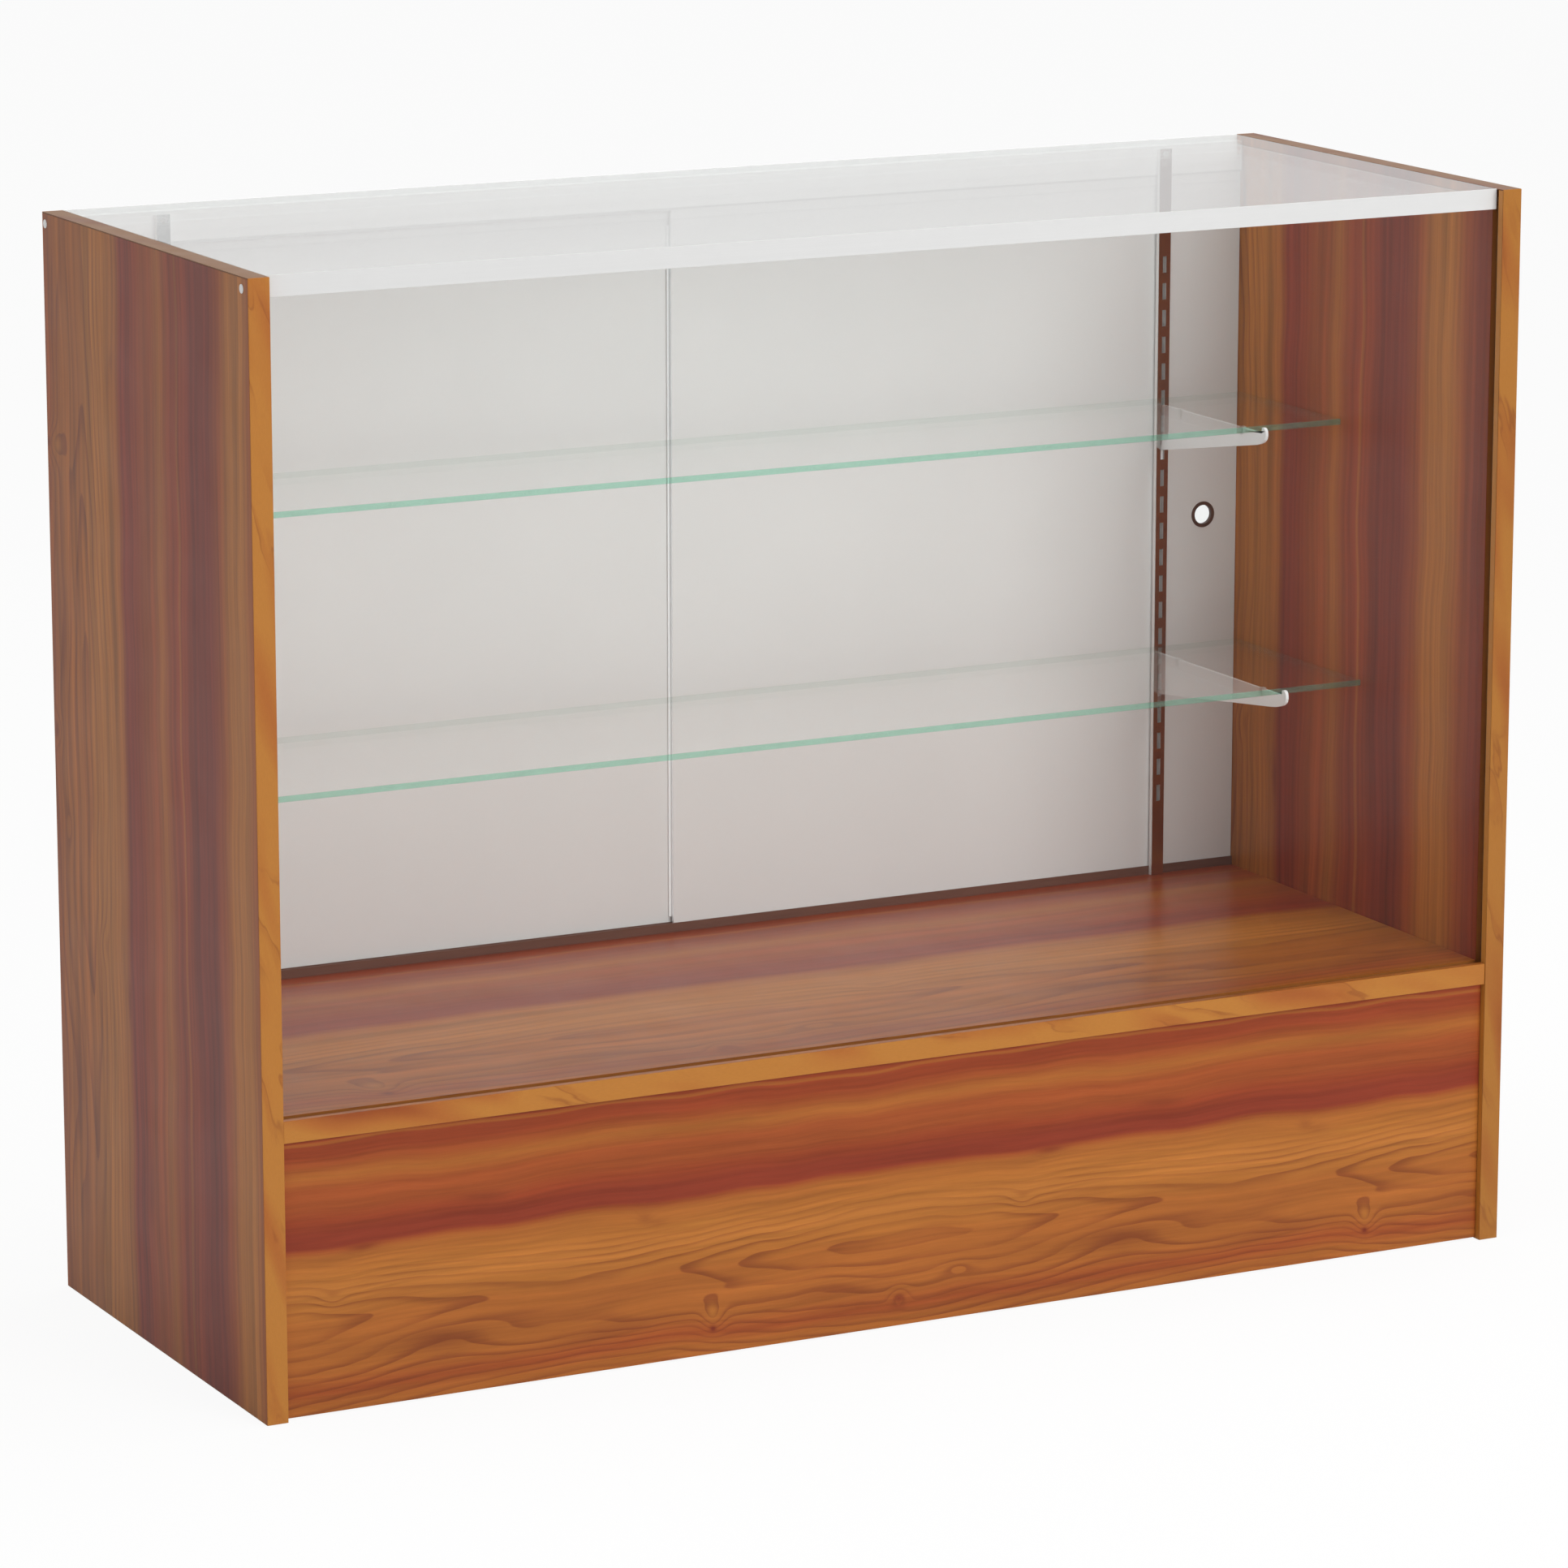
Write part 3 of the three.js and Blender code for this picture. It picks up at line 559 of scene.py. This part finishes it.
def moulded(name, shade, roughness, grain_size):
    """Plain moulded plastic or rubber with a fine spark-eroded grain."""
    material, tree, shader = new_material(name)
    x, y, z = place(tree)
    grain = noise(tree, x / grain_size, y / grain_size, z / grain_size, detail=2.0)
    cloud = noise(tree, x / 7.0, y / 7.0, z / 7.0)
    colour = mix(tree, cloud, tuple(0.93 * channel for channel in shade), shade)
    coat(tree, shader, colour, grain * 0.14 + (roughness - 0.07), relief(tree, grain, 0.00002))
    return material


def clear_rubber(name):
    """Soft clear PVC: milky, with some light going through."""
    material = moulded(name, (0.80, 0.83, 0.82), 0.34, 0.5)
    shader = material.node_tree.nodes["Principled BSDF"]
    shader.inputs["Transmission Weight"].default_value = 0.35
    shader.inputs["IOR"].default_value = 1.52
    return material


def seal_with_painted_light(name):
    """Soft white vinyl that glows faintly: an emission that is painted light, lifting the shade in
    the gap between the doors.
    """
    material = moulded(name, (0.93, 0.95, 0.96), 0.45, 0.5)
    tree = material.node_tree
    shader = tree.nodes["Principled BSDF"]
    x, y, z = place(tree)
    shader.inputs["Emission Color"].default_value = (0.93, 0.98, 1.0, 1.0)
    # Painted light: an emission, noisy along the strip and stronger towards its foot, lifting the
    # shade in the door gap.
    painted_glow = noise(tree, x / 3.0, y / 3.0, z / 70.0) * 0.3 + 0.85
    plug(tree, shader.inputs["Emission Strength"], painted_glow * z.ease(300.0, 800.0, 0.14, 0.04))
    return material


def two_shaders(tree, share, first, second):
    node = tree.nodes.new("ShaderNodeMixShader")
    plug(tree, node.inputs[0], share)
    tree.links.new(first.outputs[0], node.inputs[1])
    tree.links.new(second.outputs[0], node.inputs[2])
    return node


def show(tree, shader):
    """Makes a shader what the material shows."""
    tree.links.new(shader.outputs[0], tree.nodes["Material Output"].inputs["Surface"])


def clear_glass(name, tint):
    """A polished pane face: it passes light straight on and mirrors by its Fresnel share."""
    material, tree, shader = new_material(name)
    tree.nodes.remove(shader)
    x, y, z = place(tree)
    smear = noise(tree, x / 90.0, y / 90.0, z / 90.0, detail=3.0)
    passed = tree.nodes.new("ShaderNodeBsdfTransparent")
    passed.inputs["Color"].default_value = (*tint, 1.0)
    mirrored = tree.nodes.new("ShaderNodeBsdfGlossy")
    plug(tree, mirrored.inputs["Color"], WHITE)
    plug(tree, mirrored.inputs["Roughness"], smear.ease(0.55, 0.75) * 0.03)
    grazing = tree.nodes.new("ShaderNodeLayerWeight")
    grazing.inputs["Blend"].default_value = 0.5
    slope = Field(tree, grazing.outputs["Facing"])
    share = slope.op("POWER", 5.0) * 0.96 + 0.04
    surface = two_shaders(tree, share, passed, mirrored)
    show(tree, surface)
    return material


def glass_edge(name, body, tint, depth):
    """The polished edge of a pane: the long way through the glass tints what shows in it, and
    a share of the light, depth, is scattered back with the body colour."""
    material, tree, shader = new_material(name)
    x, y, z = place(tree)
    waves = noise(tree, x / 14.0, y / 14.0, z / 1.1, detail=2.0)
    dark = tuple(0.6 * channel for channel in body)
    coat(tree, shader, mix(tree, waves.ease(0.35, 0.65), dark, body), waves * 0.10 + 0.06)
    passed = tree.nodes.new("ShaderNodeBsdfTransparent")
    passed.inputs["Color"].default_value = (*tint, 1.0)
    surface = two_shaders(tree, depth, passed, shader)
    show(tree, surface)
    return material


# ---------------------------------------------------------------- mesh building


def finished(name, mesh_tool, body, replaced, materials):
    """Turns a bmesh into a named piece that rides on a body and stands for CAD nodes."""
    bmesh.ops.recalc_face_normals(mesh_tool, faces=mesh_tool.faces)
    mesh = bpy.data.meshes.new(name)
    mesh_tool.to_mesh(mesh)
    mesh_tool.free()
    piece = bpy.data.objects.new(name, mesh)
    bpy.context.scene.collection.objects.link(piece)
    for material in materials:
        mesh.materials.append(material)
    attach(piece, body)
    if replaced:
        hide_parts(*replaced)
    return piece


def smooth(piece, degrees=35):
    for polygon in piece.data.polygons:
        polygon.use_smooth = True
    piece.data.set_sharp_from_angle(angle=math.radians(degrees))


def block(mesh_tool, low, high):
    made = bmesh.ops.create_cube(mesh_tool, size=1.0)["verts"]
    size = high - low
    bmesh.ops.scale(mesh_tool, vec=size, verts=made)
    bmesh.ops.translate(mesh_tool, vec=(low + high) / 2, verts=made)


def bevelled(mesh_tool, edges, width, segments):
    bmesh.ops.bevel(mesh_tool, geom=edges, offset=width, segments=segments, profile=0.5,
                    affect="EDGES", clamp_overlap=True)


def pane(name, node, body, arris, face, edge, front_edge):
    """A glass pane with ground arrises. Its faces, its edges, and the edge that faces the
    customer each have a material."""
    low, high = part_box(node)
    size = high - low
    thin = min(range(3), key=lambda axis: size[axis])
    tool = bmesh.new()
    block(tool, low, high)
    bevelled(tool, tool.edges[:], arris, 2)
    tool.normal_update()
    for polygon in tool.faces:
        if abs(polygon.normal[thin]) > 0.99:
            polygon.material_index = 0
        else:
            polygon.material_index = 2 if polygon.normal.y < -0.5 else 1
    return finished(name, tool, body, [node], [face, edge, front_edge])


def turned(tool, profile, centre, axis, segments=64, closed=False):
    """Adds a turned shape. profile is (radius, distance) along the axis from centre. It starts
    and ends on the axis, unless closed, when it is a ring's section."""
    direction = Vector(axis).normalized()
    side = direction.orthogonal().normalized()
    other = direction.cross(side)
    rings = []
    for radius, distance in profile:
        middle = Vector(centre) + direction * distance
        if radius == 0:
            rings.append([tool.verts.new(middle)])
            continue
        turns = [2 * math.pi * step / segments for step in range(segments)]
        rings.append([
            tool.verts.new(middle + (side * math.cos(t) + other * math.sin(t)) * radius)
            for t in turns
        ])
    pairs = list(zip(rings, rings[1:] + rings[:1] if closed else rings[1:]))
    for first, second in pairs:
        for step in range(segments):
            after = (step + 1) % segments
            corners = [first[step % len(first)], first[after % len(first)],
                       second[after % len(second)], second[step % len(second)]]
            unique = list(dict.fromkeys(corners))
            if len(unique) > 2:
                tool.faces.new(unique)


def arc(centre, radius, start, end):
    """Points of an arc in a turned section, by angles in degrees from the radius direction."""
    angles = [math.radians(start + (end - start) * step / ARC_STEPS) for step in range(ARC_STEPS + 1)]
    return [(centre[0] + radius * math.cos(a), centre[1] + radius * math.sin(a)) for a in angles]


# ---------------------------------------------------------------- pieces


def glass_panes():
    case_face = clear_glass("case_glass", (0.985, 0.992, 0.988))
    shelf_face = clear_glass("shelf_glass", (0.992, 0.996, 0.994))
    faint = glass_edge("glass_edge", (0.45, 0.55, 0.50), (0.86, 0.92, 0.89), 0.08)
    green = glass_edge("green_glass_edge", (0.40, 0.66, 0.54), (0.58, 0.92, 0.77), 0.20)
    milky = glass_edge("top_glass_edge", (0.82, 0.83, 0.825), (0.97, 0.975, 0.972), 0.08)
    pane("front_glass_pane", "front_glass", "case", 0.5 * MM,
         case_face, faint, case_face)
    pane("top_glass_pane", "top_glass", "case", 0.7 * MM, case_face, milky, milky)
    for level in ("upper", "lower"):
        shelf = pane(f"{level}_shelf_pane", f"{level}_shelf_glass", f"{level}_shelf",
                     0.7 * MM, shelf_face, faint, green)
        shelf.visible_shadow = False


def finger_pulls(material):
    """Moulded rings with a rounded lip on both sides of the door and a rolled-in mouth."""
    for label in ("left", "right"):
        node = f"{label}_door_finger_pull"
        low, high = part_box(node)
        centre = (low + high) / 2
        lip, half = (high.x - low.x) / 2, (high.y - low.y) / 2
        door_low, door_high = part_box(f"{label}_door")
        door_half = (door_high.y - door_low.y) / 2
        proud = half - door_half
        bore = lip - PULL_MOUTH_WALL
        sleeve = lip - PULL_SLEEVE_WALL
        roll = proud * 0.9
        section = []
        section += arc((lip - roll, door_half + proud - roll), roll, 0, 90)
        section += arc((bore + roll, door_half + proud - roll), roll, 90, 180)
        section += arc((bore + roll, -door_half - proud + roll), roll, 180, 270)
        section += arc((lip - roll, -door_half - proud + roll), roll, 270, 360)
        section += [(lip, -door_half - SEAT_GAP), (sleeve, -door_half - SEAT_GAP)]
        section += [(sleeve, door_half + SEAT_GAP), (lip, door_half + SEAT_GAP)]
        tool = bmesh.new()
        turned(tool, section, centre, (0, 1, 0), closed=True)
        ring = finished(f"{label}_finger_pull_ring", tool, f"{label}_door",
                        [node], [material])
        smooth(ring)


def screw_caps(material):
    """Domed push-in caps over the rail screws."""
    for label, side in (("left", -1), ("right", 1)):
        for end in ("front", "rear"):
            node = f"{label}_{end}_screw_cap"
            low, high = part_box(node)
            centre = (low + high) / 2
            radius = (high.y - low.y) / 2
            tip = high.x if side > 0 else -low.x
            foot = -high.x if side < 0 else low.x
            panel_low, panel_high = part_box(f"{label}_end_panel")
            wall = panel_high.x if side > 0 else -panel_low.x
            proud = tip - wall
            section = [(0.0, proud)]
            for step in range(1, CAP_STEPS + 1):
                turn = math.pi / 2 * step / CAP_STEPS
                rise = (proud - SEAT_GAP) * math.cos(turn) ** CAP_FLATNESS
                section.append((radius * math.sin(turn), SEAT_GAP + rise))
            section += [(radius * CAP_STEM_TOP, SEAT_GAP), (radius * CAP_STEM_FOOT, foot - wall)]
            section += [(0.0, foot - wall)]
            tool = bmesh.new()
            turned(tool, section, (side * wall, centre.y, centre.z), (side, 0, 0), segments=40)
            cap = finished(f"{label}_{end}_cap", tool, "case", [node], [material])
            smooth(cap, 50)


def standard_screws(material):
    """Pan-head screws with a cross recess, through the top of each standard."""
    for label in ("left", "right"):
        node = f"{label}_standard_screw"
        low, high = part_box(node)
        centre = (low + high) / 2
        head = (high.x - low.x) / 2
        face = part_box(f"{label}_standard")[0].y
        rise = face - low.y
        length = high.y - face
        shank = head * SCREW_SHANK
        section = [(0.0, rise)]
        for step in range(1, SCREW_HEAD_STEPS + 1):
            turn = math.pi / 2 * step / SCREW_HEAD_STEPS
            dome = SCREW_RIM + (1 - SCREW_RIM) * math.cos(turn)
            section.append((head * math.sin(turn), rise * dome))
        section += [(head, 0.05 * rise), (shank, 0.05 * rise)]
        section += [(shank, -length * SCREW_TAPER), (0.0, -length)]
        tool = bmesh.new()
        turned(tool, section, (centre.x, face, centre.z), (0, -1, 0), segments=32)
        screw = finished(f"{label}_screw", tool, "case", [node], [material])
        recess(screw, Vector((centre.x, low.y, centre.z)), head * RECESS_REACH,
               head * RECESS_HALF_WIDTH, rise * RECESS_DEPTH)
        smooth(screw)


def meeting_strip():
    """A thin seal on the back of the right door, over the gap where the doors meet; it glows with
    painted light to lift the shade in the gap.
    """
    low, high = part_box("right_door")
    left_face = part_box("left_door")[0].y
    tool = bmesh.new()
    strip_low = Vector((low.x - STRIP_OVERHANG, high.y + STRIP_GAP_RIGHT, low.z + STRIP_FOOT))
    strip_high = Vector((low.x + STRIP_HOLD, left_face - STRIP_GAP_LEFT, high.z - STRIP_HEAD))
    block(tool, strip_low, strip_high)
    bevelled(tool, tool.edges[:], 0.3 * MM, 2)
    finished("right_door_meeting_strip", tool, "right_door", [],
             [seal_with_painted_light("meeting_seal_painted_light")])


def recess(piece, tip, reach, half_width, depth):
    """Cuts a cross into the head of a screw that faces -Y."""
    tool = bmesh.new()
    for wide, tall in ((reach, half_width), (half_width, reach)):
        low = tip + Vector((-wide, -0.001, -tall))
        high = tip + Vector((wide, depth, tall))
        block(tool, low, high)
    mesh = bpy.data.meshes.new("cross")
    tool.to_mesh(mesh)
    tool.free()
    cutter = bpy.data.objects.new("cross", mesh)
    bpy.context.scene.collection.objects.link(cutter)
    cut = piece.modifiers.new("cross", "BOOLEAN")
    cut.operation = "DIFFERENCE"
    cut.object = cutter
    cut.use_self = True
    bpy.context.view_layer.update()
    shaped = piece.evaluated_get(bpy.context.evaluated_depsgraph_get())
    result = bpy.data.meshes.new_from_object(shaped)
    piece.modifiers.clear()
    piece.data = result
    bpy.data.objects.remove(cutter)


def soften(node, width):
    """Rounds the sharp edges of a CAD piece, which keeps its mesh as it is.

    Known fault: on the upper brackets and the lower right one, the dissolve step before the bevel
    leaves thin stray faces in the side planes, beside the notch that holds the shelf.
    """
    piece = frame["nodes"][node]
    weld = piece.modifiers.new("weld", "WELD")
    weld.merge_threshold = 0.01 * MM
    flat = piece.modifiers.new("flat", "DECIMATE")
    flat.decimate_type = "DISSOLVE"
    flat.angle_limit = math.radians(1.0)
    bevel = piece.modifiers.new("bevel", "BEVEL")
    bevel.width = width
    bevel.segments = 2
    bevel.limit_method = "ANGLE"
    bevel.angle_limit = math.radians(40)
    bevel.use_clamp_overlap = True


# ---------------------------------------------------------------- finishes on the frame's nodes


def dress(node, material):
    for holder in frame["nodes"][node].material_slots:
        holder.material = material


def dress_frame():
    """Gives every CAD node that stays its finish, by the record's material slots."""
    sheet = laminate_sheet()
    fascia_low, fascia_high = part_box("kick_fascia")
    fascia_left = fascia_low.x / MM
    fascia_edge = fascia_high.z / MM - 96.0
    header_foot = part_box("rear_header_rail")[0].z / MM
    finishes = {
        "raw_board": raw_board("raw_board"),
        "brown_plastic": brown_plastic("brown_plastic"),
        "door_board": white_board("door_board"),
        "standard_steel": slotted_standard("standard_steel"),
        "bracket_paint": powder_coat("bracket_paint"),
        "fastener_zinc": plated_steel("fastener_zinc", (0.66, 0.65, 0.62), 0.34, 2.0),
        "cap_plastic": moulded("cap_plastic", (0.88, 0.88, 0.87), 0.24, 0.3),
        "bumper_rubber": clear_rubber("bumper_rubber"),
        "setting_vinyl": moulded("setting_vinyl", (0.20, 0.19, 0.18), 0.55, 0.5),
    }
    own = {
        # shade 0.95 and 1.18 are painted shade and light: one laminate darker on the left panel,
        # lighter on the right, for how the light falls.
        "left_end_panel": end_panel_laminate(sheet, "left", 57.0, 1.4, 493.0, 0.95, 1.42),
        "right_end_panel": end_panel_laminate(sheet, "right", 136.0, 1.5, 571.0, 1.18, 1.50),
        "kick_fascia": laminate(
            "fascia_laminate", sheet,
            lambda x, y, z: x - fascia_left,
            lambda x, y, z: z * -1.0 + fascia_edge, index=1.43),
        "deck_panel": laminate(
            "deck_laminate", sheet,
            lambda x, y, z: (x + 133.0) / 1.77 + FIGURE["along"],
            lambda x, y, z: (y * -1.0 + 30.6) / 1.77,
            gloss=0.24, streaks=0.5, groove=deck_groove),
        # One aluminium for both rails: the darker front rail and the lighter header are painted shade
        # and light, and the stripe at the header's foot is a painted shadow.
        "front_top_rail": white_aluminium("front_rail_aluminium", 0.63),
        "rear_header_rail": white_aluminium("header_aluminium", 0.88, header_foot + 1.2),
        "bottom_door_track": brown_plastic("track_plastic", 1.6),
        "base_rear_rail": laminate(
            "rear_rail_laminate", sheet,
            lambda x, y, z: x * 0.8,
            lambda x, y, z: z * -1.0 + 230.0),
    }
    for part in frame["record"]["subparts"]:
        node, slot = part["node"], part["material_slot"]
        if node in own:
            dress(node, own[node])
        elif slot in finishes:
            dress(node, finishes[slot])
    # The bands share one print; the right bands darker than the left and the top bands far darker are
    # painted shade for how the light falls on each.
    dress("deck_front_band", edge_band("deck_edge_band", 0, 2, 0.88))
    for label, shade in (("left", 0.86), ("right", 0.74)):
        upright = edge_band(f"{label}_edge_band", 2, 0, shade)
        dress(f"{label}_panel_front_band", upright)
        dress(f"{label}_panel_rear_band", upright)
        dress(f"{label}_panel_top_band", edge_band(f"{label}_top_edge_band", 1, 0, 0.36))
    return finishes


def deck_groove(x, y, z):
    """The groove in the deck's top under the glass, and the deck's cut sides and underside."""
    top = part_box("deck_panel")[1].z / MM
    return (z - (top - 0.9)).ease(0.0, 0.3, 1.0, 0.0)


def soften_frame():
    widths = {
        "end_panel_laminate": 0.3, "edge_band": 0.35, "deck_laminate": 0.3,
        "fascia_laminate": 0.3, "raw_board": 0.4, "white_aluminium": 0.25, "door_board": 0.3,
        "standard_steel": 0.25, "bracket_paint": 0.45, "bumper_rubber": 0.25,
        "setting_vinyl": 0.3,
    }
    for part in frame["record"]["subparts"]:
        width = widths.get(part["material_slot"])
        if width is not None:
            soften(part["node"], width * MM)


# ---------------------------------------------------------------- floor, light and camera


def studio_floor():
    tool = bmesh.new()
    bmesh.ops.create_grid(tool, x_segments=1, y_segments=1, size=FLOOR_SIZE)
    bmesh.ops.translate(tool, vec=(0, 0, -FLOOR_DROP), verts=tool.verts)
    mesh = bpy.data.meshes.new("floor")
    tool.to_mesh(mesh)
    tool.free()
    floor = bpy.data.objects.new("floor", mesh)
    bpy.context.scene.collection.objects.link(floor)
    material, tree, shader = new_material("studio_floor")
    x, y, z = place(tree)
    cloud = noise(tree, x / 900.0, y / 900.0, z)
    coat(tree, shader, mix(tree, cloud, (0.90, 0.90, 0.895), (0.92, 0.92, 0.915)), 0.6)
    shader.inputs["Specular IOR Level"].default_value = 0.0
    path = tree.nodes.new("ShaderNodeLightPath")
    lit = tree.nodes.new("ShaderNodeEmission")
    seen = two_shaders(tree, Field(tree, path.outputs["Is Camera Ray"]) * FLOOR_SHARE_SEEN,
                       shader, lit)
    mirrored = tree.nodes.new("ShaderNodeEmission")
    plug(tree, mirrored.inputs["Strength"], y.ease(-900.0, 700.0, 0.12, 0.62))
    surface = two_shaders(tree, Field(tree, path.outputs["Is Glossy Ray"]), seen, mirrored)
    show(tree, surface)
    mesh.materials.append(material)


def white_background(tree, strength):
    node = tree.nodes.new("ShaderNodeBackground")
    plug(tree, node.inputs["Color"], WHITE)
    plug(tree, node.inputs["Strength"], strength)
    return node


def studio_light():
    """White surroundings, dark in front of the glass for what they mirror, a key and a top light."""
    world = bpy.data.worlds.new("studio")
    bpy.context.scene.world = world
    world.use_nodes = True
    tree = world.node_tree
    path = tree.nodes.new("ShaderNodeLightPath")
    split = tree.nodes.new("ShaderNodeSeparateXYZ")
    tree.links.new(tree.nodes.new("ShaderNodeTexCoord").outputs["Generated"], split.inputs[0])
    seen = white_background(tree, 1.0)
    lighting = white_background(tree, AMBIENT)
    mirrored = white_background(tree, Field(tree, split.outputs[1]).ease(-0.4, 0.4, 0.2, 0.80))
    lights = two_shaders(tree, Field(tree, path.outputs["Is Diffuse Ray"]), seen, lighting)
    surface = two_shaders(tree, Field(tree, path.outputs["Is Glossy Ray"]), lights, mirrored)
    tree.links.new(surface.outputs[0], tree.nodes["World Output"].inputs["Surface"])
    soft_light("key", (2.3, -7.2, 3.0), (0, 0, 0.45), 4.5, 350.0)
    soft_light("top_light", (0.2, -0.1, 3.2), (0, 0, 0.3), 2.5, 42.0)


def soft_light(name, spot, target, size, power):
    lamp = bpy.data.lights.new(name, "AREA")
    lamp.shape = "DISK"
    lamp.size = size
    lamp.energy = power
    light = bpy.data.objects.new(name, lamp)
    light.location = spot
    aim = Vector(target) - light.location
    light.rotation_mode = "QUATERNION"
    light.rotation_quaternion = aim.to_track_quat("-Z", "Y")
    light.visible_glossy = False
    bpy.context.scene.collection.objects.link(light)


def camera():
    """A long lens from the front left, a little above the counter."""
    yaw, pitch = math.radians(CAMERA_YAW), math.radians(CAMERA_PITCH)
    forward = Vector((math.sin(yaw) * math.cos(pitch), math.cos(yaw) * math.cos(pitch),
                      -math.sin(pitch)))
    data = bpy.data.cameras.new("camera")
    data.lens = CAMERA_LENS
    data.sensor_width = 36.0
    data.clip_end = 200.0
    seat = bpy.data.objects.new("camera", data)
    seat.location = CAMERA_PLACE
    seat.rotation_mode = "QUATERNION"
    seat.rotation_quaternion = forward.to_track_quat("-Z", "Y")
    bpy.context.scene.collection.objects.link(seat)
    bpy.context.scene.camera = seat


camera()
finishes = dress_frame()
soften_frame()
glass_panes()
finger_pulls(finishes["brown_plastic"])
screw_caps(finishes["cap_plastic"])
standard_screws(finishes["fastener_zinc"])
meeting_strip()
studio_floor()
studio_light()
bpy.context.scene.view_settings.view_transform = "Standard"
bpy.context.scene.cycles.transparent_max_bounces = 24
